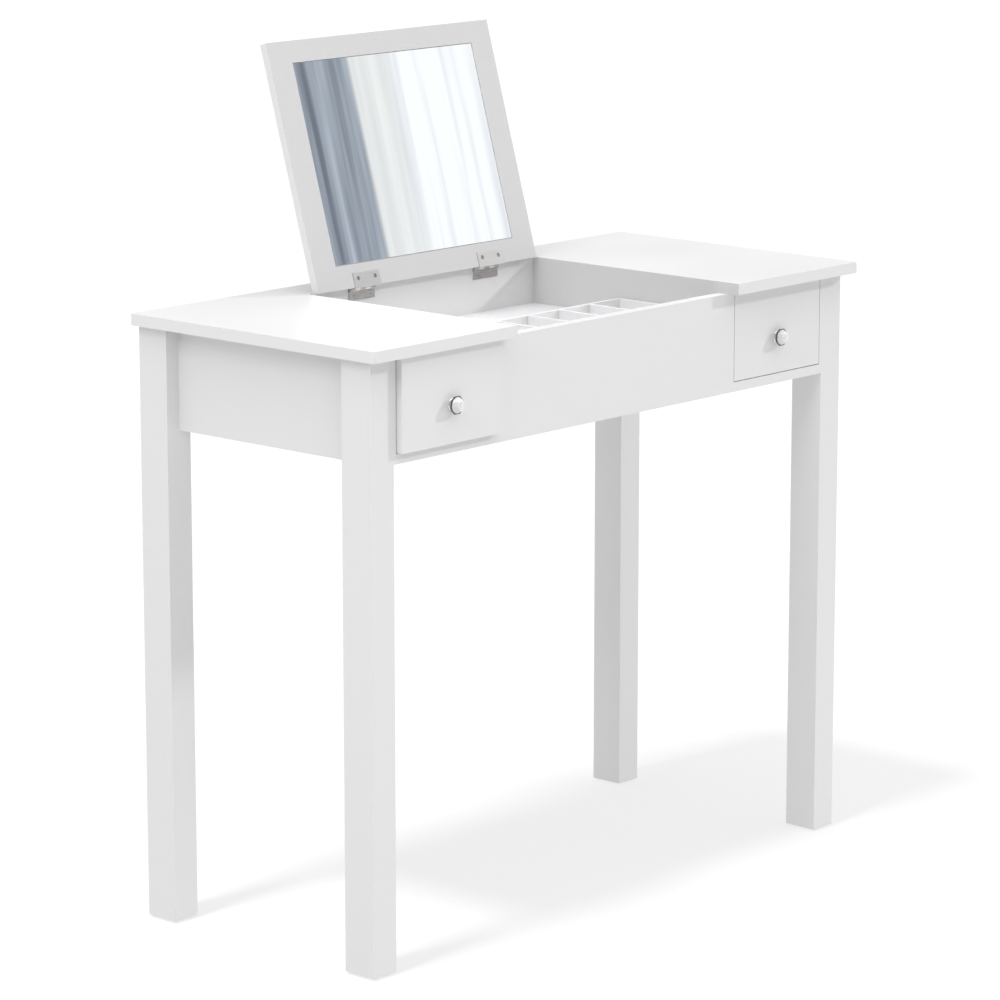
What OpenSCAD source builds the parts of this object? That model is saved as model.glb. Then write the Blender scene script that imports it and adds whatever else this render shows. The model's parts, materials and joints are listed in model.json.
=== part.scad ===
// Dressing table with a flip-up mirror lid, an organiser well and two small drawers.
// Millimetres, +Z up, +X to the sitter's right, -Y towards the sitter. The origin is on the
// floor under the middle of the whole object's outline.
// The right-hand parts are drawn, and the left-hand ones are their mirror images.

/* [Table] */
// Width of the top
table_w = 900; // [860:10:1000]
// Depth of the top
table_d = 400; // [380:5:440]
// Height of the top above the floor
table_h = 750; // [720:5:780]
// Thickness of the top
top_t = 14; // [13:1:16]
// Thickness of the front panel and dividers
board_t = 15; // [15:1:16]
// Corner radius of the top
top_corner_r = 4; // [2:1:8]
// Height of the aprons and the front panel
apron_h = 126; // [123:1:135]
// Thickness of the side aprons
apron_t = 18; // [16:1:20]

/* [Legs] */
// Width of the legs from side to side
leg_w = 38; // [34:1:40]
// Depth of the legs from front to back
leg_d = 46; // [40:1:48]
// How far the top overhangs the legs at each side
side_overhang = 13; // [10:1:16]
// How far the top overhangs the front legs
front_overhang = 18; // [10:1:25]
// How far the top overhangs the back legs
back_overhang = 2; // [0:1:4]
// Height of the plastic glides
glide_h = 2.5; // [2:0.5:4]
// Diameter of the plastic glides
glide_d = 22; // [18:1:26]

/* [Well and lid] */
// Depth of the strip of the top behind the lid
strip_d = 60; // [56:1:62]
// Clear width of the well between the two side tops
well_w = 412; // [400:4:420]
// Depth of the well's floor below the top surface
well_depth = 60; // [58:1:70]
// Thickness of the well's floor
floor_t = 12; // [12:1:14]
// Thickness of the back board
back_t = 15; // [15:1:18]
// Thickness of the lid
lid_t = 11; // [10:1:15]
// Length of the lid from its hinged edge to its free edge, which rests on the front panel
lid_l = 312; // [308:1:318]
// Gap on each side of the lid
lid_side_gap = 5.5; // [1.5:0.5:7]
// How far the lid leans back past the vertical when it is open
lid_lean = 16.1; // [10:0.1:25]
// Width of the lid's border round the mirror, at the sides
mirror_border_x = 37.5; // [30:0.5:50]
// Width of the lid's border round the mirror, at the hinges
mirror_border_back = 29.5; // [26:0.5:40]
// Width of the lid's border round the mirror, at the free edge
mirror_border_front = 27.5; // [20:0.5:40]

/* [Organiser] */
// Number of cells side by side
cells = 7; // [5:1:8]
// Height of the organiser's rim above the well's floor
organiser_h = 22; // [18:1:28]
// Depth of the organiser from front to back
organiser_d = 160.5; // [120:0.5:180]

/* [Drawers] */
// Clear width of each drawer opening
opening_w = 174; // [170:1:178]
// Height of the rail below each drawer
rail_h = 12; // [12:1:16]
// How far the left drawer stands open at rest
left_pull = 8.5; // [0:0.5:20]
// Depth of the drawer boxes behind their fronts
drawer_d = 270; // [260:5:285]
// Height of the knobs above the bottom edge of the aprons
knob_up = 59; // [50:1:70]

/* [Hinges] */
// Width of each lid hinge
hinge_w = 46; // [40:1:60]
// Distance of each hinge's middle from the table's middle
hinge_x = 114; // [90:1:140]
// Radius of the hinge barrel
barrel_r = 2.4; // [2.2:0.1:2.6]

/* [Hidden] */
$fn = 48;

white = "white";
steel = "lightsteelblue";
eps = 0.01;
cut = 1;

// Levels
under_top = table_h - top_t;
apron_z = under_top - apron_h;
well_z = table_h - well_depth;

// Planes across the table, front to back
front_y = -table_d / 2;
back_y = table_d / 2;
panel_y = front_y + front_overhang;
panel_back_y = panel_y + board_t;
front_leg_back_y = panel_y + leg_d;
back_leg_y = back_y - back_overhang - leg_d;
wall_y = back_y - strip_d;

// Planes along the table, from the middle to the right-hand side
divider_x = well_w / 2;
divider_out_x = divider_x + board_t;
leg_out_x = table_w / 2 - side_overhang;
leg_in_x = leg_out_x - leg_w;
apron_x = leg_in_x + apron_t / 2;
opening_out_x = divider_out_x + opening_w;

// Lid, in its closed place
leaf_t = 1;
leaf_gap = 0.4;
hinge_gap = 2 * leaf_t + leaf_gap;
axis_y = wall_y - hinge_gap / 2;
axis_z = under_top + lid_t;
lid_back_y = wall_y - hinge_gap;
lid_front_y = lid_back_y - lid_l;
lid_half_w = divider_x - lid_side_gap;
mirror_front_y = lid_front_y + mirror_border_front;
mirror_back_y = lid_back_y - mirror_border_back;
lid_open = 90 + lid_lean;
panel_drop = 0.5;
glass_t = 3;
tape_t = 0.9;
glass_inset = 0.6;
pocket_h = glass_inset + glass_t + tape_t;
glass_gap = 0.5;
tape_w = 20;
tape_inset = 12;
lid_flange = 18.5;
leaf_top = axis_z - 3;
body_leaf_h = leaf_top - under_top + 3;
body_screw_z = under_top + 3.5;
pin_r = 1.25;
pin_clear = 0.05;
notch_clear = 0.4;
knuckles = 5;
knuckle_gap = 0.2;
hinge_screw_dx = 15;

// Fasteners
fit = 0.05;
cam_r = 7.5;
cam_depth = 12.5;
cam_reach = 24;
cam_bore_r = 3.6;
bolt_r = 3;
bolt_in = 10;
cam_levels = [apron_z + 30, under_top - 18];
back_cam_levels = [apron_z + 50, under_top - 38];
dowel_r = 4;
dowel_l = 30;
dowel_z = apron_z + 68.5;
top_dowel_l = 28;
top_dowel_in = 10;
rail_dowel_r = 3;
rail_dowel_l = 24;
floor_screw_r = 1.75;
floor_screw_l = 40;
floor_screw_head_r = 3.4;
floor_screw_head_h = 2.2;
floor_screw_ys = [wall_y - 275, wall_y - 150, wall_y - 40];

// Drawers, with the right-hand one closed
drawer_x = (divider_out_x + opening_out_x) / 2;
drawer_gap = 1;
drawer_front_w = opening_w - 2 * drawer_gap;
drawer_front_z = apron_z + rail_h + drawer_gap;
drawer_front_top = under_top - drawer_gap;
slide_w = 12.7;
slide_l = 250;
slide_h = 35;
slide_z = apron_z + 69;
steel_t = 1.2;
inner_h = 26;
inner_reach = 9.7;
outer_reach = 9.5;
box_out_x = slide_w + divider_out_x;
box_w = opening_w - 2 * slide_w;
side_t = 12;
box_z = drawer_front_z + 10;
box_top = under_top - 11;
groove_z = box_z + 6;
ply_t = 3;
groove_d = 5;
slide_y = panel_back_y + 2;
slide_screw_ys = [slide_y + 50, slide_y + 125, slide_y + 225];
slide_screw_r = 1.6;
slide_screw_head_r = 3;
fixed_screw_l = 14;
moving_screw_l = 10;
cage_l = 60;
cage_t = 0.6;
cage_x = 1.6;
cage_reach = 8.4;
ball_r = 1.35;
ball_z = (slide_h / 2 - steel_t + inner_h / 2) / 2;
balls_a_row = 4;
box_dowel_r = 3;
box_dowel_l = 22;
box_dowel_levels = [box_z + 26, box_z + 70];

// Knob, measured outwards from the drawer front
rosette_r = 8;
rosette_h = 2;
cup_r = 5.5;
cup_h = 2;
crystal_root_r = 6.5;
crystal_r = 11.3;
crystal_face_r = 6.5;
crystal_flare_h = 2;
crystal_band_h = 1.5;
crystal_crown_h = 7;
crystal_sides = 8;
knob_h = rosette_h + cup_h + crystal_flare_h + crystal_band_h + crystal_crown_h;
knob_screw_r = 2;
knob_screw_in = 3;

// The outline's front is the left knob and its back is the open lid's top edge
outline_front = panel_y - left_pull - knob_h;
outline_back = axis_y + (axis_y - lid_front_y) * sin(lid_lean);
frame_y = -(outline_front + outline_back) / 2;

// ---------------------------------------------------------------- helpers

// A box between two corners
module block(low, high) {
    translate(low) cube(high - low);
}

module rounded_plate(size, r, h) {
    linear_extrude(h) {
        translate([-size.x / 2 + r, -size.y / 2]) square([size.x - 2 * r, size.y]);
        translate([-size.x / 2, -size.y / 2 + r]) square([size.x, size.y - 2 * r]);
        for (x = [-1, 1], y = [-1, 1])
            translate([x * (size.x / 2 - r), y * (size.y / 2 - r)]) circle(r);
    }
}

module both_sides() {
    children();
    mirror([1, 0, 0]) children();
}

// Turn +X forwards (-Y), backwards (+Y) or leave it sideways. +Z then points inwards (-X),
// outwards (+X) or backwards.
module facing_front_in() { rotate([0, 0, -90]) rotate([90, 0, 0]) children(); }
module facing_front_out() { rotate([0, 0, -90]) rotate([-90, 0, 0]) children(); }
module facing_back_in() { rotate([0, 0, 90]) rotate([-90, 0, 0]) children(); }
module facing_back_out() { rotate([0, 0, 90]) rotate([90, 0, 0]) children(); }
module facing_side() { rotate([-90, 0, 0]) children(); }

// A cylinder along X from the origin
module rod(r, l) {
    rotate([0, 90, 0]) cylinder(r = r, h = l);
}

// A countersunk screw along X, with its head flush with X = 0. With extra it is the screw's hole
module countersunk(r, head_r, head_h, l, extra) difference() {
    rotate([0, 90, 0]) {
        cylinder(r1 = head_r + extra, r2 = r + extra, h = head_h);
        translate([0, 0, head_h - eps]) cylinder(r = r + extra, h = l - head_h + eps + extra);
    }
    if (extra == 0) for (turn = [0, 90]) rotate([turn, 0, 0])
        translate([-cut, -0.6 * head_r, -0.14 * head_r])
            cube([cut + 0.6 * head_h, 1.2 * head_r, 0.28 * head_r]);
}

// Cam joint: the cam's board lies on the -X side and the bolt enters the other board at X = 0
module cam_cut(half_t) {
    translate([-cam_reach, 0, half_t - cam_depth - fit])
        cylinder(r = cam_r + fit, h = cam_depth + fit + cut);
    translate([-cam_reach, 0, 0]) rod(cam_bore_r, cam_reach + cut);
}

module cam_lock(half_t) {
    difference() {
        translate([-cam_reach, 0, half_t - cam_depth]) cylinder(r = cam_r, h = cam_depth);
        translate([-cam_reach - 3.5, 0, 0]) rod(cam_bore_r, cam_reach);
        translate([-cam_reach, 0, half_t - 1.5]) {
            translate([-4, -0.6, 0]) cube([8, 1.2, 2]);
            translate([-0.6, -4, 0]) cube([1.2, 8, 2]);
        }
    }
}

module cam_bolt() {
    translate([-cam_reach - 3, 0, 0]) rod(3.3, 3);
    translate([-cam_reach - eps, 0, 0]) rod(2.4, cam_reach);
    translate([-2, 0, 0]) rod(3.4, 2);
    rod(bolt_r, bolt_in);
}

module bolt_cut() {
    translate([-cut, 0, 0]) rod(bolt_r + fit, bolt_in + cut + fit);
}

// Runs its children at every cam joint of one kind on the right-hand side
module at_apron_front() {
    for (z = cam_levels)
        translate([apron_x, front_leg_back_y, z]) facing_front_in() children();
}

module at_apron_back() {
    for (z = cam_levels)
        translate([apron_x, back_leg_y, z]) facing_back_in() children();
}

module at_divider_front() {
    for (z = cam_levels)
        translate([divider_x + board_t / 2, panel_back_y, z]) facing_front_out() children();
}

module at_divider_back() {
    for (z = cam_levels)
        translate([divider_x + board_t / 2, wall_y, z]) facing_back_out() children();
}

module at_back_board() {
    for (z = back_cam_levels)
        translate([leg_in_x, wall_y + back_t / 2, z]) facing_side() children();
}

// Horizontal dowels between the aprons, legs, dividers, panel and back board
module frame_dowels_right(extra) {
    module pin(x, y) {
        translate([x, y - extra, dowel_z]) rotate([0, 0, 90])
            rod(dowel_r + extra, dowel_l + 2 * extra);
    }
    pin(apron_x, front_leg_back_y - dowel_l / 2);
    pin(apron_x, back_leg_y - dowel_l / 2);
    pin(divider_x + board_t / 2, panel_back_y - 10);
    pin(divider_x + board_t / 2, wall_y + 12 - dowel_l);
}

// Upright dowels that hold the top
module top_dowels_right(extra) {
    z = under_top + top_dowel_in - top_dowel_l - extra;
    module pin(x, y) {
        translate([x, y, z]) cylinder(r = dowel_r + extra, h = top_dowel_l + 2 * extra);
    }
    for (y = [-90, 90]) pin(apron_x, y);
    for (y = [-100, 60]) pin(divider_x + board_t / 2, y);
    for (x = [60, 300]) pin(x, wall_y + back_t / 2);
}

// Thin dowel between the front panel's rail and the front leg
module rail_dowel_right(extra) {
    translate([leg_in_x - rail_dowel_l / 2 - extra, panel_y + board_t / 2, apron_z + rail_h / 2])
        rod(rail_dowel_r + extra, rail_dowel_l + 2 * extra);
}

module floor_screws_right(extra) {
    for (y = floor_screw_ys)
        translate([divider_out_x, y, well_z - floor_t / 2]) mirror([1, 0, 0]) {
            rod(floor_screw_r + extra, floor_screw_l);
            translate([-extra, 0, 0]) rod(floor_screw_head_r + extra, floor_screw_head_h + 2 * extra);
        }
}

// ---------------------------------------------------------------- table body

module top_panel() color(white) difference() {
    translate([0, 0, under_top]) rounded_plate([table_w, table_d], top_corner_r, top_t);
    block([-divider_x, front_y - cut, under_top - cut], [divider_x, wall_y, table_h + cut]);
    both_sides() {
        top_dowels_right(fit);
        hinge_body_screw_pair(fit);
        hinge_notch();
    }
}

module front_panel() color(white) difference() {
    block([-leg_in_x, panel_y, apron_z], [leg_in_x, panel_back_y, under_top]);
    block([-divider_x, panel_y - cut, under_top - panel_drop],
          [divider_x, panel_back_y + cut, under_top + cut]);
    both_sides() {
        block([divider_out_x, panel_y - cut, apron_z + rail_h],
              [opening_out_x, panel_back_y + cut, under_top + cut]);
        at_divider_front() bolt_cut();
        frame_dowels_right(fit);
        rail_dowel_right(fit);
    }
}

module back_board() color(white) difference() {
    block([-leg_in_x, wall_y, apron_z], [leg_in_x, wall_y + back_t, under_top]);
    both_sides() {
        at_back_board() cam_cut(back_t / 2);
        at_divider_back() bolt_cut();
        frame_dowels_right(fit);
        top_dowels_right(fit);
    }
}

module right_side_apron() color(white) difference() {
    block([leg_in_x, front_leg_back_y, apron_z], [leg_in_x + apron_t, back_leg_y, under_top]);
    at_apron_front() cam_cut(apron_t / 2);
    at_apron_back() cam_cut(apron_t / 2);
    at_back_board() bolt_cut();
    frame_dowels_right(fit);
    top_dowels_right(fit);
    outer_slide_screws(fit);
}

module left_side_apron() mirror([1, 0, 0]) right_side_apron();

module right_divider() color(white) difference() {
    block([divider_x, panel_back_y, apron_z], [divider_out_x, wall_y, under_top]);
    at_divider_front() cam_cut(board_t / 2);
    at_divider_back() cam_cut(board_t / 2);
    frame_dowels_right(fit);
    top_dowels_right(fit);
    floor_screws_right(fit);
    inner_slide_screws(fit);
}

module left_divider() mirror([1, 0, 0]) right_divider();

module compartment_floor() color(white) difference() {
    block([-divider_x, panel_back_y, well_z - floor_t], [divider_x, wall_y, well_z]);
    both_sides() floor_screws_right(fit);
}

module right_leg(y) color(white) difference() {
    block([leg_in_x, y, glide_h], [leg_out_x, y + leg_d, under_top]);
    at_apron_front() bolt_cut();
    at_apron_back() bolt_cut();
    frame_dowels_right(fit);
    rail_dowel_right(fit);
    glide(y, fit);
}

module front_right_leg() right_leg(panel_y);
module front_left_leg() mirror([1, 0, 0]) right_leg(panel_y);
module back_right_leg() right_leg(back_leg_y);
module back_left_leg() mirror([1, 0, 0]) right_leg(back_leg_y);

// A nail-on glide under the right-hand leg that starts at y
module glide(y, extra = 0) {
    translate([leg_in_x + leg_w / 2, y + leg_d / 2, 0]) {
        cylinder(r = glide_d / 2, h = glide_h);
        cylinder(r = 2 + extra, h = glide_h + 12 + extra);
    }
}

module foot_glides() color("gainsboro") both_sides() {
    glide(panel_y);
    glide(back_leg_y);
}

// ---------------------------------------------------------------- organiser in the well

org_half_w = divider_x - 0.5;
org_wall = 4;
org_base = 8;
org_front_y = panel_back_y + 0.5;
org_back_y = org_front_y + organiser_d;
cell_w = (2 * org_half_w - (cells + 1) * org_wall) / cells;

module organiser_base() color(white)
    block([-org_half_w, org_front_y, well_z], [org_half_w, org_back_y, well_z + org_base]);

module organiser_wall(x, y, size) {
    translate([x, y, well_z + org_base]) cube([size.x, size.y, organiser_h - org_base]);
}

module organiser_long_walls() color(white)
    for (y = [org_front_y, org_back_y - org_wall])
        organiser_wall(-org_half_w, y, [2 * org_half_w, org_wall]);

module organiser_end_walls() color(white)
    for (x = [-org_half_w, org_half_w - org_wall])
        organiser_wall(x, org_front_y + org_wall, [org_wall, organiser_d - 2 * org_wall]);

module organiser_dividers() color(white)
    for (i = [1 : cells - 1])
        organiser_wall(-org_half_w + i * (cell_w + org_wall), org_front_y + org_wall,
                       [org_wall, organiser_d - 2 * org_wall]);

// ---------------------------------------------------------------- fasteners of the body

module cam_locks() color("silver") both_sides() {
    at_apron_front() cam_lock(apron_t / 2);
    at_apron_back() cam_lock(apron_t / 2);
    at_divider_front() cam_lock(board_t / 2);
    at_divider_back() cam_lock(board_t / 2);
    at_back_board() cam_lock(back_t / 2);
}

module cam_bolts() color("silver") both_sides() {
    at_apron_front() cam_bolt();
    at_apron_back() cam_bolt();
    at_divider_front() cam_bolt();
    at_divider_back() cam_bolt();
    at_back_board() cam_bolt();
}

module frame_dowels() color("burlywood") both_sides() frame_dowels_right(0);
module top_dowels() color("burlywood") both_sides() top_dowels_right(0);
module rail_dowels() color("burlywood") both_sides() rail_dowel_right(0);
module floor_screws() color(steel) both_sides() floor_screws_right(0);

// ---------------------------------------------------------------- drawer slides

// Draws its children on the opening's inner side and, mirrored, on its outer side
module on_both_slides() {
    children();
    translate([2 * drawer_x, 0, 0]) mirror([1, 0, 0]) children();
}

// Channel along Y whose web lies at x = 0 and whose flanges run towards +X
module channel(h, reach) {
    translate([0, 0, -h / 2]) difference() {
        cube([reach, slide_l, h]);
        translate([steel_t, -cut, steel_t])
            cube([reach, slide_l + 2 * cut, h - 2 * steel_t]);
    }
}

module slide_screw_row(l, extra) {
    for (y = slide_screw_ys)
        translate([0, y, 0])
            countersunk(slide_screw_r, slide_screw_head_r, steel_t, l, extra);
}

// Screws of the fixed channels. The inner ones bite into the divider. The outer ones pass
// through the batten into the apron
module inner_slide_screws(extra) {
    translate([divider_out_x + steel_t, 0, slide_z]) mirror([1, 0, 0])
        slide_screw_row(fixed_screw_l, extra);
}

module outer_slide_screws(extra) {
    translate([opening_out_x - steel_t, 0, slide_z]) slide_screw_row(fixed_screw_l, extra);
}

module right_fixed_slides() color(steel) difference() {
    on_both_slides() translate([divider_out_x, slide_y, slide_z]) channel(slide_h, outer_reach);
    inner_slide_screws(fit);
    outer_slide_screws(fit);
}

module left_fixed_slides() mirror([1, 0, 0]) right_fixed_slides();

module fixed_slide_screws() color("silver") both_sides() {
    inner_slide_screws(0);
    outer_slide_screws(0);
}

module slide_battens() color(white) both_sides() difference() {
    block([opening_out_x, slide_y, slide_z - 20], [leg_in_x, slide_y + slide_l, slide_z + 20]);
    outer_slide_screws(fit);
}

// Moving channel and its screws, which bite into the drawer's side
module moving_slide_screws(extra) {
    on_both_slides()
        translate([box_out_x - steel_t, 0, slide_z]) slide_screw_row(moving_screw_l, extra);
}

module right_moving_slides() color(steel) difference() {
    on_both_slides() translate([box_out_x, slide_y, slide_z]) mirror([1, 0, 0])
        channel(inner_h, inner_reach);
    moving_slide_screws(fit);
}

module right_slide_screws() color("silver") moving_slide_screws(0);

module balls(extra) {
    pitch = cage_l / balls_a_row;
    on_both_slides()
        for (i = [0 : balls_a_row - 1], side = [-1, 1])
            translate([divider_out_x + 6, slide_y + (slide_l - cage_l + pitch) / 2 + i * pitch,
                       slide_z + side * ball_z])
                sphere(ball_r + extra);
}

module right_slide_balls() color("silver") balls(0);

module right_ball_cages() color("dimgray") difference() {
    on_both_slides()
        translate([divider_out_x + cage_x, slide_y + (slide_l - cage_l) / 2, slide_z])
            difference() {
                translate([0, 0, -ball_z - cage_t / 2])
                    cube([cage_reach, cage_l, 2 * ball_z + cage_t]);
                translate([cage_t, -cut, -ball_z + cage_t / 2])
                    cube([cage_reach, cage_l + 2 * cut, 2 * ball_z - cage_t]);
            }
    balls(0.1);
}

// ---------------------------------------------------------------- drawers

module box_dowels(extra) {
    for (z = box_dowel_levels) on_both_slides() {
        translate([box_out_x + side_t / 2, panel_back_y - 9, z]) rotate([0, 0, 90])
            rod(box_dowel_r + extra, box_dowel_l + extra);
        translate([box_out_x + 4 - extra, panel_back_y + drawer_d - side_t / 2, z])
            rod(box_dowel_r + extra, box_dowel_l + 2 * extra);
    }
}

module bottom_sheet() {
    block([box_out_x + side_t - groove_d, panel_back_y - groove_d, groove_z],
          [2 * drawer_x - box_out_x - side_t + groove_d, panel_back_y + drawer_d,
           groove_z + ply_t]);
}

module right_drawer_front() color(white) difference() {
    block([drawer_x - drawer_front_w / 2, panel_y, drawer_front_z],
          [drawer_x + drawer_front_w / 2, panel_back_y, drawer_front_top]);
    bottom_sheet();
    translate([0, -9 - fit, 0]) box_dowel_ends();
    translate([drawer_x, panel_y - cut, apron_z + knob_up]) rotate([-90, 0, 0])
        cylinder(r = knob_screw_r + fit, h = board_t + 2 * cut);
}

// The blind holes in the drawer front for the dowels of the box's sides
module box_dowel_ends() {
    for (z = box_dowel_levels) on_both_slides()
        translate([box_out_x + side_t / 2, panel_back_y, z]) rotate([0, 0, 90])
            rod(box_dowel_r + fit, 9 + cut);
}

module right_drawer_sides() color(white) difference() {
    on_both_slides()
        block([box_out_x, panel_back_y, box_z],
              [box_out_x + side_t, panel_back_y + drawer_d, box_top]);
    bottom_sheet();
    box_dowels(fit);
    moving_slide_screws(fit);
}

module right_drawer_back() color(white) difference() {
    block([box_out_x + side_t, panel_back_y + drawer_d - side_t, groove_z + ply_t],
          [2 * drawer_x - box_out_x - side_t, panel_back_y + drawer_d, box_top]);
    box_dowels(fit);
}

module right_drawer_bottom() color(white) bottom_sheet();
module right_drawer_dowels() color("burlywood") box_dowels(0);

// Runs its children with +Z pointing out of the drawer front at the knob
module at_knob() {
    translate([drawer_x, panel_y, apron_z + knob_up]) rotate([90, 0, 0]) children();
}

module right_knob_base() color("silver") at_knob() difference() {
    union() {
        cylinder(r = rosette_r, h = rosette_h);
        cylinder(r = cup_r, h = rosette_h + cup_h);
    }
    translate([0, 0, -cut]) cylinder(r = knob_screw_r + fit, h = cut + knob_screw_in + fit);
}

module right_knob_crystal() color("aliceblue") at_knob()
    translate([0, 0, rosette_h + cup_h]) rotate([0, 0, 180 / crystal_sides]) {
        cylinder(r1 = crystal_root_r, r2 = crystal_r, h = crystal_flare_h, $fn = crystal_sides);
        translate([0, 0, crystal_flare_h - eps])
            cylinder(r = crystal_r, h = crystal_band_h + 2 * eps, $fn = crystal_sides);
        translate([0, 0, crystal_flare_h + crystal_band_h])
            cylinder(r1 = crystal_r, r2 = crystal_face_r, h = crystal_crown_h,
                     $fn = crystal_sides);
    }

module right_knob_screw() color("silver") at_knob() difference() {
    union() {
        translate([0, 0, -board_t]) cylinder(r = knob_screw_r, h = board_t + knob_screw_in);
        translate([0, 0, -board_t - 2.2]) cylinder(r = 4, h = 2.2);
    }
    translate([-0.5, -3, -board_t - 2.2 - cut]) cube([1, 6, cut + 1]);
    translate([-3, -0.5, -board_t - 2.2 - cut]) cube([6, 1, cut + 1]);
}

// The left-hand drawer is the right-hand one's mirror image, pulled out a little, and its
// ball cages have rolled half as far
module left_hand(pull = left_pull) translate([0, -pull, 0]) mirror([1, 0, 0]) children();

module left_drawer_front() left_hand() right_drawer_front();
module left_drawer_sides() left_hand() right_drawer_sides();
module left_drawer_back() left_hand() right_drawer_back();
module left_drawer_bottom() left_hand() right_drawer_bottom();
module left_drawer_dowels() left_hand() right_drawer_dowels();
module left_moving_slides() left_hand() right_moving_slides();
module left_slide_screws() left_hand() right_slide_screws();
module left_knob_base() left_hand() right_knob_base();
module left_knob_crystal() left_hand() right_knob_crystal();
module left_knob_screw() left_hand() right_knob_screw();
module left_ball_cages() left_hand(left_pull / 2) right_ball_cages();
module left_slide_balls() left_hand(left_pull / 2) right_slide_balls();

// ---------------------------------------------------------------- hinges, as with the lid closed

// Notch, open upwards, that lets the barrel sink into the edges of the top and the lid
module hinge_notch() {
    r = barrel_r + notch_clear;
    translate([hinge_x - hinge_w / 2 - 0.5, axis_y, axis_z]) {
        rod(r, hinge_w + 1);
        translate([0, -r, 0]) cube([hinge_w + 1, 2 * r, table_h - axis_z + cut]);
    }
}

// The barrel's knuckles first, first + 2, and so on, with their tabs down to a leaf at leaf_y
module knuckle_row(first, leaf_y) {
    pitch = hinge_w / knuckles;
    for (i = [first : 2 : knuckles - 1])
        translate([hinge_x - hinge_w / 2 + i * pitch + knuckle_gap / 2, 0, 0]) difference() {
            union() {
                translate([0, axis_y, axis_z]) rod(barrel_r, pitch - knuckle_gap);
                translate([0, leaf_y, leaf_top - cut])
                    cube([pitch - knuckle_gap, leaf_t, axis_z - leaf_top + cut]);
            }
            translate([-cut, axis_y, axis_z]) rod(pin_r + pin_clear, pitch + 2 * cut);
        }
}

module hinge_body_screw_pair(extra) {
    for (dx = [-hinge_screw_dx, hinge_screw_dx])
        translate([hinge_x + dx, wall_y - leaf_t, body_screw_z]) rotate([0, 0, 90])
            countersunk(1.2, 2.2, leaf_t, 12, extra);
}

module hinge_lid_screw_pair(extra) {
    for (dx = [-hinge_screw_dx, hinge_screw_dx])
        translate([hinge_x + dx, lid_back_y - 11, under_top - leaf_t]) rotate([0, -90, 0])
            countersunk(1.4, 2.8, leaf_t, 10, extra);
}

module hinge_body_leaves() color(steel) both_sides() difference() {
    union() {
        translate([hinge_x - hinge_w / 2, wall_y - leaf_t, leaf_top - body_leaf_h])
            cube([hinge_w, leaf_t, body_leaf_h]);
        knuckle_row(0, wall_y - leaf_t);
    }
    hinge_body_screw_pair(fit);
}

// The lid's leaf runs down the lid's back edge and wraps round onto its underside
module hinge_lid_leaf_closed() difference() {
    union() {
        translate([hinge_x - hinge_w / 2, lid_back_y, under_top - leaf_t])
            cube([hinge_w, leaf_t, leaf_top - under_top + leaf_t]);
        translate([hinge_x - hinge_w / 2, lid_back_y - lid_flange, under_top - leaf_t])
            cube([hinge_w, lid_flange + leaf_t, leaf_t]);
        knuckle_row(1, lid_back_y);
    }
    hinge_lid_screw_pair(fit);
}

module hinge_pins() color("silver") both_sides()
    translate([hinge_x - hinge_w / 2, axis_y, axis_z]) rod(pin_r, hinge_w);

module hinge_body_screws() color("silver") both_sides() hinge_body_screw_pair(0);

// ---------------------------------------------------------------- lid

// Swings closed-lid children open about the hinge axis
module open_lid() {
    translate([0, axis_y, axis_z]) rotate([-lid_open, 0, 0])
        translate([0, -axis_y, -axis_z]) children();
}

module mirror_area(inset, low_z, high_z) {
    block([-lid_half_w + mirror_border_x + inset, mirror_front_y + inset, low_z],
          [lid_half_w - mirror_border_x - inset, mirror_back_y - inset, high_z]);
}

module lid_board() color(white) open_lid() difference() {
    block([-lid_half_w, lid_front_y, under_top], [lid_half_w, lid_back_y, axis_z]);
    mirror_area(0, under_top - cut, under_top + pocket_h);
    both_sides() {
        hinge_notch();
        hinge_lid_screw_pair(fit);
    }
}

module mirror_glass() color("lightblue") open_lid()
    mirror_area(glass_gap, under_top + glass_inset, under_top + glass_inset + glass_t);

// Double-sided foam strips that hold the glass
module mirror_tape() color("dimgray") open_lid() difference() {
    low = under_top + glass_inset + glass_t;
    first_y = mirror_front_y + tape_inset;
    pitch = (mirror_back_y - tape_inset - tape_w - first_y) / 3;
    mirror_area(tape_inset, low, low + tape_t);
    for (i = [0 : 2])
        block([-lid_half_w, first_y + i * pitch + tape_w, low - cut],
              [lid_half_w, first_y + (i + 1) * pitch, low + tape_t + cut]);
}

module hinge_lid_leaves() color(steel) open_lid() both_sides() hinge_lid_leaf_closed();
module hinge_lid_screws() color("silver") open_lid() both_sides() hinge_lid_screw_pair(0);

// ---------------------------------------------------------------- all parts, in the frame

module placed() translate([0, frame_y, 0]) children();

placed() top_panel();
placed() front_panel();
placed() back_board();
placed() left_side_apron();
placed() right_side_apron();
placed() left_divider();
placed() right_divider();
placed() compartment_floor();
placed() front_left_leg();
placed() front_right_leg();
placed() back_left_leg();
placed() back_right_leg();
placed() foot_glides();
placed() organiser_base();
placed() organiser_long_walls();
placed() organiser_end_walls();
placed() organiser_dividers();
placed() cam_locks();
placed() cam_bolts();
placed() frame_dowels();
placed() top_dowels();
placed() rail_dowels();
placed() floor_screws();
placed() slide_battens();
placed() left_fixed_slides();
placed() right_fixed_slides();
placed() fixed_slide_screws();
placed() hinge_body_leaves();
placed() hinge_pins();
placed() hinge_body_screws();
placed() lid_board();
placed() mirror_glass();
placed() mirror_tape();
placed() hinge_lid_leaves();
placed() hinge_lid_screws();
placed() left_drawer_front();
placed() left_drawer_sides();
placed() left_drawer_back();
placed() left_drawer_bottom();
placed() left_drawer_dowels();
placed() left_moving_slides();
placed() left_slide_screws();
placed() left_knob_base();
placed() left_knob_crystal();
placed() left_knob_screw();
placed() left_ball_cages();
placed() left_slide_balls();
placed() right_drawer_front();
placed() right_drawer_sides();
placed() right_drawer_back();
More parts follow.
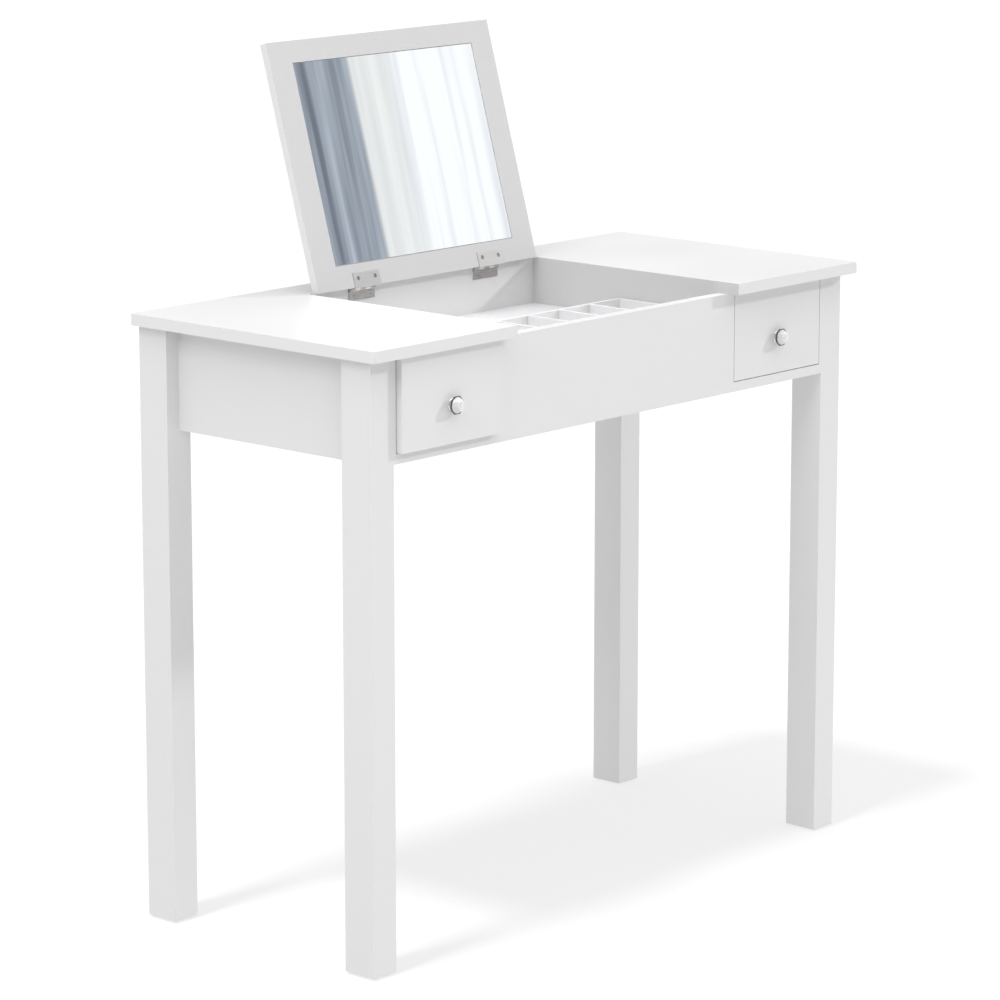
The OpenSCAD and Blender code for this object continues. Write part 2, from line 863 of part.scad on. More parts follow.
placed() right_drawer_bottom();
placed() right_drawer_dowels();
placed() right_moving_slides();
placed() right_slide_screws();
placed() right_knob_base();
placed() right_knob_crystal();
placed() right_knob_screw();
placed() right_ball_cages();
placed() right_slide_balls();
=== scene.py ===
"""Looks for the dressing table with a flip-up mirror lid: materials, knobs, light and camera."""
import json
import math

import bmesh
import bpy
from mathutils import Matrix, Vector


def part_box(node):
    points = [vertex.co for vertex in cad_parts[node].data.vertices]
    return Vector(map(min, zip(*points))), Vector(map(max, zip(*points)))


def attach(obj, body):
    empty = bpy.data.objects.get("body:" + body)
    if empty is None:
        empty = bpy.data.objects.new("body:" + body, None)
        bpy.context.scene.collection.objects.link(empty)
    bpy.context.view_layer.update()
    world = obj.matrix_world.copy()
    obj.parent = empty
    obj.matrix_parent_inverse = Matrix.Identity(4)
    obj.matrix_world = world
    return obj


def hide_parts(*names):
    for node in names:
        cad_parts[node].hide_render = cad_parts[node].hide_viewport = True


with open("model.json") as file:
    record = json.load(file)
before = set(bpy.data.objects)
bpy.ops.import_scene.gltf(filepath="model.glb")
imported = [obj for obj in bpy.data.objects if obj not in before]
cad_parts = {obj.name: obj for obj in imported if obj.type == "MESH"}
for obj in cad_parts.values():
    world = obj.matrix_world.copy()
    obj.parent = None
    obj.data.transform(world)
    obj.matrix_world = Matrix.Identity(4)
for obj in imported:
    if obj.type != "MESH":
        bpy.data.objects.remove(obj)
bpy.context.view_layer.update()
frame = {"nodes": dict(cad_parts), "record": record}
NODES = frame["nodes"]
MM = 0.001


# ---------------------------------------------------------------- node helpers

def new_material(name):
    """An empty material with an output and a Principled shader."""
    material = bpy.data.materials.new(name)
    material.use_nodes = True
    tree = material.node_tree
    tree.nodes.clear()
    output = tree.nodes.new("ShaderNodeOutputMaterial")
    shader = tree.nodes.new("ShaderNodeBsdfPrincipled")
    tree.links.new(shader.outputs["BSDF"], output.inputs["Surface"])
    return material, tree, shader


def noise(tree, scale, detail, roughness=0.5, stretch=(1, 1, 1)):
    """A noise texture in object space, stretched along an axis where stretch is small."""
    coordinates = tree.nodes.new("ShaderNodeTexCoord")
    mapping = tree.nodes.new("ShaderNodeMapping")
    mapping.inputs["Scale"].default_value = stretch
    texture = tree.nodes.new("ShaderNodeTexNoise")
    texture.inputs["Scale"].default_value = scale
    texture.inputs["Detail"].default_value = detail
    texture.inputs["Roughness"].default_value = roughness
    tree.links.new(coordinates.outputs["Object"], mapping.inputs["Vector"])
    tree.links.new(mapping.outputs["Vector"], texture.inputs["Vector"])
    return texture.outputs["Fac"]


def remap(tree, value, low, high, from_low=0.3, from_high=0.7):
    """A value taken from the range from_low to from_high to the range low to high."""
    node = tree.nodes.new("ShaderNodeMapRange")
    node.inputs["From Min"].default_value = from_low
    node.inputs["From Max"].default_value = from_high
    node.inputs["To Min"].default_value = low
    node.inputs["To Max"].default_value = high
    tree.links.new(value, node.inputs["Value"])
    return node.outputs["Result"]


def two_colours(tree, value, dark, light, start=0.35, end=0.65):
    """A colour that goes from dark to light as value goes from start to end."""
    ramp = tree.nodes.new("ShaderNodeValToRGB")
    ramp.color_ramp.elements[0].position = start
    ramp.color_ramp.elements[0].color = (*dark, 1)
    ramp.color_ramp.elements[1].position = end
    ramp.color_ramp.elements[1].color = (*light, 1)
    tree.links.new(value, ramp.inputs["Fac"])
    return ramp.outputs["Color"]


def blend_colours(tree, factor, first, second):
    """The second colour where factor is 1, the first where it is 0."""
    mix = tree.nodes.new("ShaderNodeMix")
    mix.data_type = "RGBA"
    tree.links.new(factor, mix.inputs["Factor"])
    colour_inputs = [socket for socket in mix.inputs if socket.type == "RGBA"]
    tree.links.new(first, colour_inputs[0])
    tree.links.new(second, colour_inputs[1])
    return [socket for socket in mix.outputs if socket.type == "RGBA"][0]


def math_node(tree, operation, first, second):
    """One step of arithmetic on a socket and a number or another socket."""
    node = tree.nodes.new("ShaderNodeMath")
    node.operation = operation
    tree.links.new(first, node.inputs[0])
    if isinstance(second, float):
        node.inputs[1].default_value = second
    else:
        tree.links.new(second, node.inputs[1])
    return node.outputs["Value"]


def bump(tree, shader, value, distance, strength):
    """A bump on the shader where value rises."""
    node = tree.nodes.new("ShaderNodeBump")
    node.inputs["Distance"].default_value = distance
    node.inputs["Strength"].default_value = strength
    tree.links.new(value, node.inputs["Height"])
    tree.links.new(node.outputs["Normal"], shader.inputs["Normal"])


# ---------------------------------------------------------------- materials

LID_LEAN = math.radians(16.1)
MIRROR_SIDE = Vector((0, -math.cos(LID_LEAN), math.sin(LID_LEAN)))
SKIN = 0.5 * MM

LACQUER_LEVEL = 0.70
# tone of the painted shade on the lid's face round the mirror and on the well's side walls
PAINTED_SHADE_LEVEL = 0.56
DARKER_SPOTS = (-0.005, -0.006, -0.004)
LIGHTER_SPOTS = (0.0, -0.001, 0.002)
LACQUER_ROUGHNESS = 0.32
LACQUER_SPECULAR = 0.5
LID_ROUGHNESS = 0.5
LID_SPECULAR = 0.15
ROUGHNESS_SPREAD = (-0.02, 0.03)
LACQUER_IOR = 1.48
PEEL_DEPTH = 0.02 * MM
PEEL_STRENGTH = 0.3

MIRROR_TINTS = ((0.86, 0.885, 0.90), (0.88, 0.90, 0.91))
MIRROR_ROUGHNESS = (0.008, 0.02)
CRYSTAL_TINTS = ((0.97, 0.975, 0.98), (1.0, 1.0, 1.0))
CRYSTAL_CLEAR_SHARE = 0.35
CRYSTAL_IOR = 1.5
FINE_DETAIL = 4
FINE_ROUGHNESS = 0.6
METAL_GRAIN_STRENGTH = 0.4
PLAIN_GRAIN_STRENGTH = 0.5


def painted_shade_around_mirror(tree):
    """Mask of painted shade: 1 on the lid's face around the mirror, which is painted darker, and
    0 on its other faces.
    """
    reach = max(vertex.co.dot(MIRROR_SIDE) for vertex in NODES["lid_board"].data.vertices)
    place = tree.nodes.new("ShaderNodeTexCoord")
    along = tree.nodes.new("ShaderNodeVectorMath")
    along.operation = "DOT_PRODUCT"
    along.inputs[1].default_value = MIRROR_SIDE
    tree.links.new(place.outputs["Object"], along.inputs[0])
    return math_node(tree, "GREATER_THAN", along.outputs["Value"], reach - SKIN)


def painted_shade_on_well_walls(tree):
    """Mask of painted shade: 1 on the left and right walls of the well, up to the top's surface,
    which are painted darker, and 0 elsewhere.
    """
    place = tree.nodes.new("ShaderNodeTexCoord")
    split = tree.nodes.new("ShaderNodeSeparateXYZ")
    tree.links.new(place.outputs["Object"], split.inputs["Vector"])
    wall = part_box("right_divider")[0][0] + SKIN
    aside = math_node(tree, "ABSOLUTE", split.outputs["X"], 0.0)
    inside = math_node(tree, "LESS_THAN", aside, wall)
    past = math_node(tree, "GREATER_THAN", aside, wall - 2 * SKIN)
    before_strip = math_node(tree, "LESS_THAN", split.outputs["Y"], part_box("back_board")[0][1])
    return math_node(tree, "MULTIPLY", math_node(tree, "MULTIPLY", inside, past), before_strip)


def lacquer_tint(tree, level):
    """Two close tones of white in wide, soft patches."""
    dark = [level + offset for offset in DARKER_SPOTS]
    light = [level + offset for offset in LIGHTER_SPOTS]
    patches = noise(tree, scale=2.5, detail=0)
    return two_colours(tree, patches, dark, light, start=0.2, end=0.8)


def white_lacquer(name, roughness=LACQUER_ROUGHNESS, specular=LACQUER_SPECULAR, painted_shade_mask=None):
    """Sprayed white lacquer on board: a faint orange peel, and a painted shade, a darker lacquer
    tone, where the given mask gives 1.
    """
    material, tree, shader = new_material(name)
    tint = lacquer_tint(tree, LACQUER_LEVEL)
    # painted shade: the darker tone where the mask gives 1
    if painted_shade_mask:
        tint = blend_colours(tree, painted_shade_mask(tree), tint, lacquer_tint(tree, PAINTED_SHADE_LEVEL))
    tree.links.new(tint, shader.inputs["Base Color"])
    smoothest, roughest = [roughness + offset for offset in ROUGHNESS_SPREAD]
    patches = noise(tree, scale=5, detail=0)
    tree.links.new(remap(tree, patches, smoothest, roughest), shader.inputs["Roughness"])
    shader.inputs["IOR"].default_value = LACQUER_IOR
    shader.inputs["Specular IOR Level"].default_value = specular
    bump(tree, shader, noise(tree, scale=260, detail=1), PEEL_DEPTH, PEEL_STRENGTH)
    return material


def mirror_silver():
    """Silvered glass, with very slightly uneven tint and gloss."""
    material, tree, shader = new_material("mirror_silver")
    tint = two_colours(tree, noise(tree, scale=3, detail=2), *MIRROR_TINTS)
    tree.links.new(tint, shader.inputs["Base Color"])
    shader.inputs["Metallic"].default_value = 1.0
    tree.links.new(remap(tree, noise(tree, scale=8, detail=2), *MIRROR_ROUGHNESS),
                   shader.inputs["Roughness"])
    return material


def crystal():
    """Clear cut acrylic, very slightly cool, with a milky share that keeps it bright."""
    material, tree, shader = new_material("clear_crystal")
    tint = two_colours(tree, noise(tree, scale=60, detail=2), *CRYSTAL_TINTS)
    tree.links.new(tint, shader.inputs["Base Color"])
    shader.inputs["Transmission Weight"].default_value = CRYSTAL_CLEAR_SHARE
    shader.inputs["IOR"].default_value = CRYSTAL_IOR
    shader.inputs["Roughness"].default_value = 0.0
    return material


def metal(name, light, dark, roughness, scale, stretch=(1, 1, 1), grain=0.0):
    """Metal with uneven gloss, and fine brushing where grain isn't zero."""
    material, tree, shader = new_material(name)
    lines = noise(tree, scale, FINE_DETAIL, FINE_ROUGHNESS, stretch)
    tree.links.new(two_colours(tree, lines, dark, light, start=0.2, end=0.6),
                   shader.inputs["Base Color"])
    tree.links.new(remap(tree, lines, *roughness), shader.inputs["Roughness"])
    shader.inputs["Metallic"].default_value = 1.0
    if grain:
        bump(tree, shader, lines, grain, METAL_GRAIN_STRENGTH)
    return material


def plain(name, light, dark, roughness, scale, stretch=(1, 1, 1), grain=0.0):
    """A non-metal with two close tones and uneven gloss, and a bump where grain isn't zero."""
    material, tree, shader = new_material(name)
    spots = noise(tree, scale, FINE_DETAIL, FINE_ROUGHNESS, stretch)
    tree.links.new(two_colours(tree, spots, dark, light), shader.inputs["Base Color"])
    tree.links.new(remap(tree, spots, *roughness), shader.inputs["Roughness"])
    if grain:
        bump(tree, shader, spots, grain, PLAIN_GRAIN_STRENGTH)
    return material


BRUSHED_ALONG_X = (0.06, 1, 1)
MATERIALS = {
    "white_lacquer": white_lacquer("white_lacquer"),
    "mirror_glass": mirror_silver(),
    "clear_crystal": crystal(),
    "chrome": metal("chrome", light=(0.86, 0.86, 0.87), dark=(0.78, 0.78, 0.80),
                    roughness=(0.04, 0.09), scale=90),
    "nickel": metal("nickel", light=(0.80, 0.775, 0.745), dark=(0.74, 0.715, 0.69),
                    roughness=(0.3, 0.4), scale=900, stretch=BRUSHED_ALONG_X, grain=0.01 * MM),
    "zinc": metal("zinc", light=(0.72, 0.73, 0.75), dark=(0.60, 0.61, 0.64),
                  roughness=(0.25, 0.4), scale=240, stretch=(1, 0.2, 1)),
    "black_steel": metal("black_steel", light=(0.10, 0.10, 0.11), dark=(0.05, 0.05, 0.05),
                         roughness=(0.35, 0.5), scale=200),
    "bearing_steel": metal("bearing_steel", light=(0.80, 0.80, 0.82), dark=(0.74, 0.74, 0.76),
                           roughness=(0.06, 0.12), scale=300),
    "beech": plain("beech", light=(0.66, 0.47, 0.29), dark=(0.50, 0.33, 0.18),
                   roughness=(0.5, 0.7), scale=220, stretch=(1, 0.08, 0.08), grain=0.03 * MM),
    "foam_tape": plain("foam_tape", light=(0.035, 0.035, 0.035), dark=(0.02, 0.02, 0.02),
                       roughness=(0.8, 0.95), scale=700, grain=0.1 * MM),
    "glide_plastic": plain("glide_plastic", light=(0.76, 0.76, 0.75), dark=(0.70, 0.70, 0.69),
                           roughness=(0.4, 0.55), scale=300, grain=0.02 * MM),
}

# painted shade: the lid's face round the mirror gets the darker lacquer tone
LID_LACQUER_PAINTED_SHADE = white_lacquer("lid_lacquer_painted_shade", LID_ROUGHNESS, LID_SPECULAR, painted_shade_around_mirror)
# painted shade: the well's side walls get the darker lacquer tone for the shade inside the well
WELL_LACQUER_PAINTED_SHADE = white_lacquer("well_lacquer_painted_shade", painted_shade_mask=painted_shade_on_well_walls)
# painted shade: a darker copy of the nickel for the body's hinge leaves and their screws
PAINTED_SHADE_NICKEL = metal("painted_shade_nickel", light=(0.50, 0.48, 0.46), dark=(0.40, 0.385, 0.37),
                      roughness=(0.24, 0.36), scale=900, stretch=BRUSHED_ALONG_X,
                      grain=0.01 * MM)
SCREW_NICKEL = metal("screw_nickel", light=(0.42, 0.41, 0.40), dark=(0.34, 0.33, 0.32),
                     roughness=(0.3, 0.4), scale=300)
# painted shade: near-black colour for the ring that stands in for the crystal's dark refracted
# edge
KNOB_PAINTED_DARK_EDGE = plain("knob_painted_dark_edge", light=(0.10, 0.096, 0.092), dark=(0.06, 0.057, 0.054),
                 roughness=(0.3, 0.4), scale=200)
# finishes by node, with the painted shade of the lid's face, the well's side walls and the
# body's hinge leaves
FINISHES_AND_PAINTED_SHADE = {
    "lid_board": LID_LACQUER_PAINTED_SHADE,
    "top_panel": WELL_LACQUER_PAINTED_SHADE,
    "left_divider": WELL_LACQUER_PAINTED_SHADE,
    "right_divider": WELL_LACQUER_PAINTED_SHADE,
    "hinge_body_leaves": PAINTED_SHADE_NICKEL,
    "hinge_body_screws": PAINTED_SHADE_NICKEL,
    "hinge_lid_screws": SCREW_NICKEL,
}


def assign(obj, material):
    """Gives an object one material."""
    obj.data.materials.clear()
    obj.data.materials.append(material)


# ---------------------------------------------------------------- edges of the CAD parts

WELD_DISTANCE = 0.01 * MM
EDGE_SEGMENTS = 3
EDGE_ANGLE = math.radians(35)
# edge radii in millimetres, by material slot, and by node where a part has its own
SOFT_EDGES = {
    "white_lacquer": 0.8,
    "mirror_glass": 0.35,
    "nickel": 0.18,
    "glide_plastic": 0.5,
    "zinc": 0.12,
    "black_steel": 0.1,
}
SPECIAL_EDGES = {
    "top_panel": 1.3,
    "front_panel": 0.4,
    "left_drawer_front": 0.5,
    "right_drawer_front": 0.4,
}


def soften(obj, radius):
    """Rounds the edges of a CAD part, in millimetres, without touching its own vertices."""
    weld = obj.modifiers.new("weld", "WELD")
    weld.merge_threshold = WELD_DISTANCE
    bevel = obj.modifiers.new("edges", "BEVEL")
    bevel.width = radius * MM
    bevel.segments = EDGE_SEGMENTS
    bevel.limit_method = "ANGLE"
    bevel.angle_limit = EDGE_ANGLE
    bevel.use_clamp_overlap = True
    bevel.harden_normals = False


for entry in frame["record"]["subparts"]:
    name, slot = entry["node"], entry["material_slot"]
    assign(NODES[name], MATERIALS[slot])
    radius = SPECIAL_EDGES.get(name, SOFT_EDGES.get(slot))
    if radius is not None:
        soften(NODES[name], radius)
for name, material in FINISHES_AND_PAINTED_SHADE.items():
    assign(NODES[name], material)


# ---------------------------------------------------------------- knobs

KNOB_SIDES = 8
FOOT_STEPS = 64
# (radius, height) from the drawer outwards, as shares of the CAD base's own
FOOT_PROFILE = ((0, 0), (1, 0), (1, 0.12), (0.97, 0.22), (0.86, 0.36), (0.70, 0.50),
                (0.64, 0.62), (0.66, 0.74), (0.76, 0.9), (0.78, 1), (0, 1))
# widths as shares of the foot's, the CAD crystal's and the stone's widest part
ROOT_SHARE = 0.78
STONE_SHARE = 0.87
TABLE_SHARE = 0.57
# heights as shares of the CAD crystal's
FLARE_SHARE = 0.19
BAND_SHARE = 0.15
CROWN_SHARE = 0.66
# the ring of painted shade round the stone runs between these two heights
DARK_EDGE_FROM_SHARE = 0.18
DARK_EDGE_TO_SHARE = 0.35
# the hole of the ring of painted shade as a share of the stone, which it must bite into
DARK_EDGE_HOLE_SHARE = 0.99
# where the star facets meet: out from half way to the table, and up the crown
STAR_OUT = 1.02
STAR_UP = 0.55


def make_object(name, bm, material, smooth):
    """A mesh object from a bmesh, which it frees."""
    mesh = bpy.data.meshes.new(name)
    bm.normal_update()
    bm.to_mesh(mesh)
    bm.free()
    for face in mesh.polygons:
        face.use_smooth = smooth
    obj = bpy.data.objects.new(name, mesh)
    bpy.context.scene.collection.objects.link(obj)
    assign(obj, material)
    return obj


def lathe(bm, profile, steps, turn=0.0):
    """Rings of vertices for each (radius, height) of a profile along -Y, closed at its ends."""
    rings = []
    for radius, height in profile:
        if radius == 0:
            rings.append([bm.verts.new((0, -height, 0))])
            continue
        ring = []
        for step in range(steps):
            angle = turn + 2 * math.pi * step / steps
            ring.append(bm.verts.new((radius * math.cos(angle), -height,
                                      radius * math.sin(angle))))
        rings.append(ring)
    for low, high in zip(rings, rings[1:]):
        for step in range(steps):
            after = (step + 1) % steps
            corners = [low[step % len(low)], low[after % len(low)],
                       high[after % len(high)], high[step % len(high)]]
            bm.faces.new(list(dict.fromkeys(corners)))


def cut_stone(bm, girdle, root, start, flare, band, crown):
    """A brilliant-style stone: a flat table, star and kite facets, a band and a tapered root.

    girdle and root are radii. The stone begins start away from the drawer, and flare, band and
    crown are the heights of its three parts.
    """
    n = KNOB_SIDES
    half = math.pi / n
    table = girdle * TABLE_SHARE

    def ring(radius, height, turn):
        return [bm.verts.new((radius * math.cos(turn + 2 * half * i), -height,
                              radius * math.sin(turn + 2 * half * i))) for i in range(n)]

    bottom = ring(root, start, half)
    low = ring(girdle, start + flare, half)
    low_mid = ring(girdle, start + flare, 2 * half)
    high = ring(girdle, start + flare + band, half)
    high_mid = ring(girdle, start + flare + band, 2 * half)
    star = ring((girdle + table) / 2 * STAR_OUT, start + flare + band + crown * STAR_UP,
                2 * half)
    top = ring(table, start + flare + band + crown, half)
    bm.faces.new(bottom)
    bm.faces.new(top)
    for i in range(n):
        j = (i + 1) % n
        bm.faces.new([bottom[i], low[i], low_mid[i]])
        bm.faces.new([bottom[i], low_mid[i], bottom[j]])
        bm.faces.new([bottom[j], low_mid[i], low[j]])
        bm.faces.new([low[i], high[i], high_mid[i], low_mid[i]])
        bm.faces.new([low_mid[i], high_mid[i], high[j], low[j]])
        bm.faces.new([top[i], top[j], star[i]])
        bm.faces.new([high[i], star[i], high_mid[i]])
        bm.faces.new([high_mid[i], star[i], high[j]])
        bm.faces.new([top[i], star[i], high[i]])
        bm.faces.new([top[j], high[j], star[i]])
    bmesh.ops.recalc_face_normals(bm, faces=bm.faces)


def knob_foot(side, radius, height):
    """A turned chrome foot."""
    bm = bmesh.new()
    lathe(bm, [(radius * across, height * out) for across, out in FOOT_PROFILE], FOOT_STEPS)
    bmesh.ops.recalc_face_normals(bm, faces=bm.faces)
    return make_object(f"{side}_knob_foot", bm, MATERIALS["chrome"], True)


def knob_stone(side, widest, root, start, height):
    """The cut crystal."""
    bm = bmesh.new()
    cut_stone(bm, girdle=widest * STONE_SHARE, root=root, start=start,
              flare=height * FLARE_SHARE, band=height * BAND_SHARE, crown=height * CROWN_SHARE)
    return make_object(f"{side}_knob_stone", bm, MATERIALS["clear_crystal"], False)


def knob_painted_dark_edge(side, widest, start, height):
    """A near-black ring round the widest part of the crystal: painted shade for the dark
    refracted edge of the clear stone.
    """
    bm = bmesh.new()
    hole = widest * STONE_SHARE * DARK_EDGE_HOLE_SHARE
    low = start + height * DARK_EDGE_FROM_SHARE
    high = start + height * DARK_EDGE_TO_SHARE
    profile = [(hole, low), (widest, low), (widest, high), (hole, high), (hole, low)]
    lathe(bm, profile, KNOB_SIDES, math.pi / KNOB_SIDES)
    bmesh.ops.remove_doubles(bm, verts=bm.verts, dist=WELD_DISTANCE)
    bmesh.ops.recalc_face_normals(bm, faces=bm.faces)
    return make_object(f"{side}_knob_painted_dark_edge", bm, KNOB_PAINTED_DARK_EDGE, False)


def knob(side):
    """A foot, a stone and a near-black ring of painted shade round the stone, where the CAD knob
    is.
    """
    low, high = (Vector(corner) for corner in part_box(f"{side}_knob_base"))
    stone_low, stone_high = (Vector(corner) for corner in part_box(f"{side}_knob_crystal"))
    place = Vector(((low.x + high.x) / 2, high.y, (low.z + high.z) / 2))
    foot_r = (high.x - low.x) / 2
    foot_h = high.y - low.y
    height = stone_high.y - stone_low.y
    widest = (stone_high.x - stone_low.x) / 2 / math.cos(math.pi / KNOB_SIDES)
    foot = knob_foot(side, foot_r, foot_h)
    stone = knob_stone(side, widest, foot_r * ROOT_SHARE, foot_h, height)
    dark_edge = knob_painted_dark_edge(side, widest, foot_h, height)
    for piece, node, slot in ((foot, "knob_base", "chrome"), (dark_edge, "knob_crystal", "chrome"),
                              (stone, "knob_crystal", "clear_crystal")):
        piece.location = place
        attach(piece, f"{side}_drawer")
        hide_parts(f"{side}_{node}")


for side in ("left", "right"):
    knob(side)


# ---------------------------------------------------------------- stage

FLOOR_SIZE = (40, 40)
FLOOR_LEVEL = 0.1
FLOOR_MOTTLE = 0.005
FLOOR_ROUGHNESS = 0.6
FLOOR_LIFT = 0.765
FLOOR_DROP = 0.3 * MM
DRAPE_SIZE = (2.6, 2.2)
DRAPE_PLACE = Vector((1.90, -1.56, 1.36))
MIRROR_MIDDLE = Vector((0, 0.16, 0.92))
# (dark, light) colours of the drape's folds, from one side to the other
GREY_FOLDS = ((0.19, 0.215, 0.26), (0.60, 0.66, 0.74))
PALE_FOLDS = ((0.80, 0.805, 0.80), (1.0, 1.0, 0.98))
WHITE_FOLDS = ((0.88, 0.885, 0.93), (1.13, 1.13, 1.13))
# where the grey and the pale folds end along the drape's X, and over how much they fade
GREY_EDGE = 0.085
GREY_FADE = 0.004
PALE_EDGE = 0.012
PALE_FADE = 0.012
CURTAIN_FOLDS = ((0.50, 0.52, 0.55), (0.84, 0.86, 0.88))


def staged_plane(name, size, material):
    """A flat stage piece that lies level at the origin."""
    bm = bmesh.new()
    bmesh.ops.create_grid(bm, x_segments=1, y_segments=1, size=0.5)
    bmesh.ops.scale(bm, vec=(size[0], size[1], 1), verts=bm.verts)
    obj = make_object(name, bm, material, False)
    return obj


def floor_material():
    """Plain studio floor that stays white wherever the table's shadow doesn't fall."""
    material, tree, shader = new_material("studio_floor")
    low = FLOOR_LEVEL - FLOOR_MOTTLE
    high = FLOOR_LEVEL + FLOOR_MOTTLE
    mottle = noise(tree, scale=2, detail=0)
    tint = two_colours(tree, mottle, (low, low, low), (high, high, high))
    tree.links.new(tint, shader.inputs["Base Color"])
    shader.inputs["Roughness"].default_value = FLOOR_ROUGHNESS
    shader.inputs["Specular IOR Level"].default_value = 0
    shader.inputs["Emission Color"].default_value = (1, 1, 1, 1)
    shader.inputs["Emission Strength"].default_value = FLOOR_LIFT
    return material


def glow(name):
    """An empty material with an output and an emission shader."""
    material = bpy.data.materials.new(name)
    material.use_nodes = True
    tree = material.node_tree
    tree.nodes.clear()
    output = tree.nodes.new("ShaderNodeOutputMaterial")
    light = tree.nodes.new("ShaderNodeEmission")
    tree.links.new(light.outputs["Emission"], output.inputs["Surface"])
    return material, tree, light


def drape_material():
    """Soft upright folds of light, from blue-grey through pale to white, for the mirror."""
    material, tree, light = glow("studio_drape")
    place = tree.nodes.new("ShaderNodeTexCoord")
    split = tree.nodes.new("ShaderNodeSeparateXYZ")
    tree.links.new(place.outputs["Object"], split.inputs["Vector"])
    across = split.outputs["X"]
    folds = noise(tree, 24.0, FINE_DETAIL, FINE_ROUGHNESS, stretch=(1.6, 0.03, 1))
    grey = two_colours(tree, folds, *GREY_FOLDS, start=0.36, end=0.68)
    pale = two_colours(tree, folds, *PALE_FOLDS, start=0.3, end=0.6)
    white = two_colours(tree, folds, *WHITE_FOLDS, start=0.36, end=0.52)
    past_grey = remap(tree, across, 1, 0, GREY_EDGE - GREY_FADE, GREY_EDGE + GREY_FADE)
    past_pale = remap(tree, across, 1, 0, PALE_EDGE - PALE_FADE, PALE_EDGE + PALE_FADE)
    bright = blend_colours(tree, past_pale, pale, white)
    tree.links.new(blend_colours(tree, past_grey, grey, bright), light.inputs["Color"])
    return material


def curtain_material():
    """Plain pale folds, which the mirror shows from other sides."""
    material, tree, light = glow("studio_curtain")
    folds = noise(tree, 9.0, FINE_DETAIL, FINE_ROUGHNESS, stretch=(1, 1, 0.02))
    colour = two_colours(tree, folds, *CURTAIN_FOLDS, start=0.3, end=0.65)
    tree.links.new(colour, light.inputs["Color"])
    return material


def show_in_gloss_only(obj):
    """Hides an object from everything but reflections."""
    obj.visible_camera = False
    obj.visible_diffuse = False
    obj.visible_shadow = False
    obj.visible_transmission = False


def add_drape():
    """A lit drape that only reflections show, with its folds in line with the mirror."""
    drape = staged_plane("studio_drape", DRAPE_SIZE, drape_material())
    along = Vector((0, math.sin(LID_LEAN), math.cos(LID_LEAN)))
    facing = MIRROR_MIDDLE - DRAPE_PLACE
    facing = (facing - facing.dot(along) * along).normalized()
    across = along.cross(facing)
    turn = Matrix((across, along, facing)).transposed()
    drape.matrix_world = Matrix.Translation(DRAPE_PLACE) @ turn.to_4x4()
    show_in_gloss_only(drape)


def add_curtain(radius, height, half_angle, steps):
    """A curtain on a half circle in front of the table."""
    bm = bmesh.new()
    feet = []
    for step in range(steps + 1):
        angle = half_angle * (2 * step / steps - 1)
        feet.append(Vector((radius * math.sin(angle), -radius * math.cos(angle), 0)))
    rows = [[bm.verts.new(foot + Vector((0, 0, level))) for foot in feet]
            for level in (0, height)]
    for i in range(steps):
        bm.faces.new([rows[0][i], rows[0][i + 1], rows[1][i + 1], rows[1][i]])
    curtain = make_object("studio_curtain", bm, curtain_material(), True)
    show_in_gloss_only(curtain)


FLOOR = staged_plane("studio_floor", FLOOR_SIZE, floor_material())
FLOOR.location.z = -FLOOR_DROP
add_drape()
add_curtain(radius=3.5, height=4.0, half_angle=math.radians(85), steps=24)


# ---------------------------------------------------------------- light

ROOM_TINT = (0.99, 0.99, 1.0, 1)


def area_light(name, place, target, size, power):
    """A square white light that faces its target."""
    data = bpy.data.lights.new(name, "AREA")
    data.shape = "SQUARE"
    data.size = size
    data.energy = power
    obj = bpy.data.objects.new(name, data)
    bpy.context.scene.collection.objects.link(obj)
    obj.location = place
    obj.rotation_euler = (Vector(target) - Vector(place)).to_track_quat("-Z", "Y").to_euler()
    return obj


def floor_sun(slope, angle, strength):
    """A far, soft light from the left: slope is sideways over down, angle is in degrees."""
    data = bpy.data.lights.new("floor_sun", "SUN")
    data.energy = strength
    data.angle = math.radians(angle)
    obj = bpy.data.objects.new("floor_sun", data)
    bpy.context.scene.collection.objects.link(obj)
    obj.rotation_euler = Vector((slope, 0, -1)).to_track_quat("-Z", "Y").to_euler()
    return obj


def link_floor(light, state):
    """Makes a light skip the floor, or light nothing else."""
    receivers = bpy.data.collections.new(f"{light.name}_receivers")
    receivers.objects.link(FLOOR)
    receivers.collection_objects[0].light_linking.link_state = state
    light.light_linking.receiver_collection = receivers


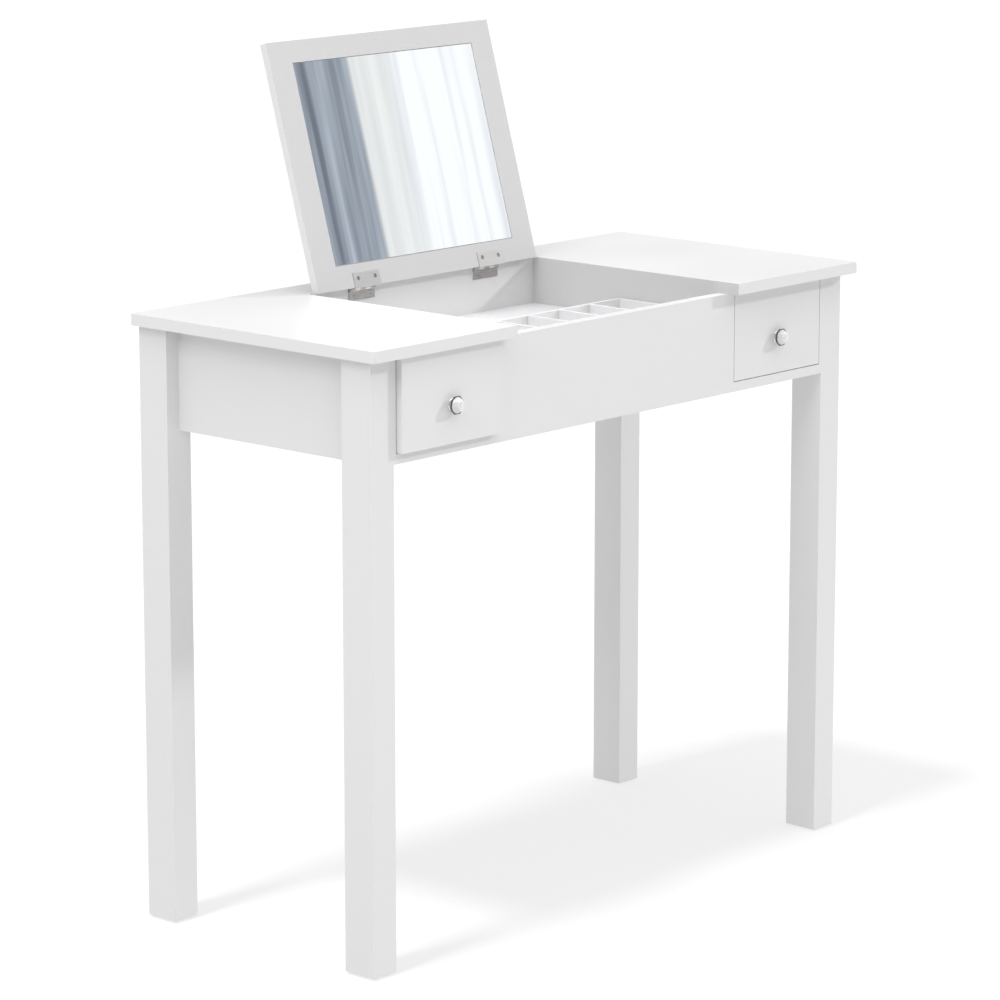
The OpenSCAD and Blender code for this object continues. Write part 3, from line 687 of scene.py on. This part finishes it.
def world_light(level, overhead, start, seen):
    """A white room, brighter overhead. What the camera sees of it is pure white."""
    world = bpy.data.worlds.new("studio")
    bpy.context.scene.world = world
    world.use_nodes = True
    tree = world.node_tree
    tree.nodes.clear()
    output = tree.nodes.new("ShaderNodeOutputWorld")
    place = tree.nodes.new("ShaderNodeTexCoord")
    split = tree.nodes.new("ShaderNodeSeparateXYZ")
    tree.links.new(place.outputs["Generated"], split.inputs["Vector"])
    lighting = tree.nodes.new("ShaderNodeBackground")
    tree.links.new(remap(tree, split.outputs["Z"], level, overhead, start, 1.0),
                   lighting.inputs["Strength"])
    lighting.inputs["Color"].default_value = ROOM_TINT
    backdrop = tree.nodes.new("ShaderNodeBackground")
    backdrop.inputs["Color"].default_value = (1, 1, 1, 1)
    backdrop.inputs["Strength"].default_value = seen
    rays = tree.nodes.new("ShaderNodeLightPath")
    mix = tree.nodes.new("ShaderNodeMixShader")
    tree.links.new(rays.outputs["Is Camera Ray"], mix.inputs["Fac"])
    tree.links.new(lighting.outputs["Background"], mix.inputs[1])
    tree.links.new(backdrop.outputs["Background"], mix.inputs[2])
    tree.links.new(mix.outputs["Shader"], output.inputs["Surface"])


world_light(level=0.18, overhead=3.0, start=0.5, seen=1.02)
key = area_light("key", place=(13.84, -8.64, 8.3), target=(0, 0, 0.7), size=1.2, power=1230)
fill = area_light("fill", place=(-4.2, -0.6, 3.4), target=(0, 0, 0.5), size=2.2, power=74)
front = area_light("front", place=(-1.2, -1.9, 1.3), target=(-0.35, -0.2, 0.6), size=0.8,
                   power=4.2)
sun = floor_sun(slope=0.46, angle=9, strength=5.9)
for light in (key, front):
    light.visible_glossy = False
for light in (key, fill, front):
    link_floor(light, "EXCLUDE")
link_floor(sun, "INCLUDE")
bpy.context.scene.view_settings.view_transform = "Standard"
bpy.context.scene.view_settings.look = "None"


# ---------------------------------------------------------------- camera

CAMERA_PLACE = (-3.920437, -3.511775, 1.589167)
CAMERA_TURN = math.radians(48.133)
CAMERA_DOWN = math.radians(11.906)
CAMERA_LENS = 155.06
CAMERA_SENSOR = 36


def add_camera():
    """The camera, where the photo was taken from."""
    data = bpy.data.cameras.new("camera")
    data.sensor_width = CAMERA_SENSOR
    data.lens = CAMERA_LENS
    camera = bpy.data.objects.new("camera", data)
    bpy.context.scene.collection.objects.link(camera)
    camera.location = CAMERA_PLACE
    camera.rotation_euler = (math.pi / 2 - CAMERA_DOWN, 0, -CAMERA_TURN)
    bpy.context.scene.camera = camera


add_camera()
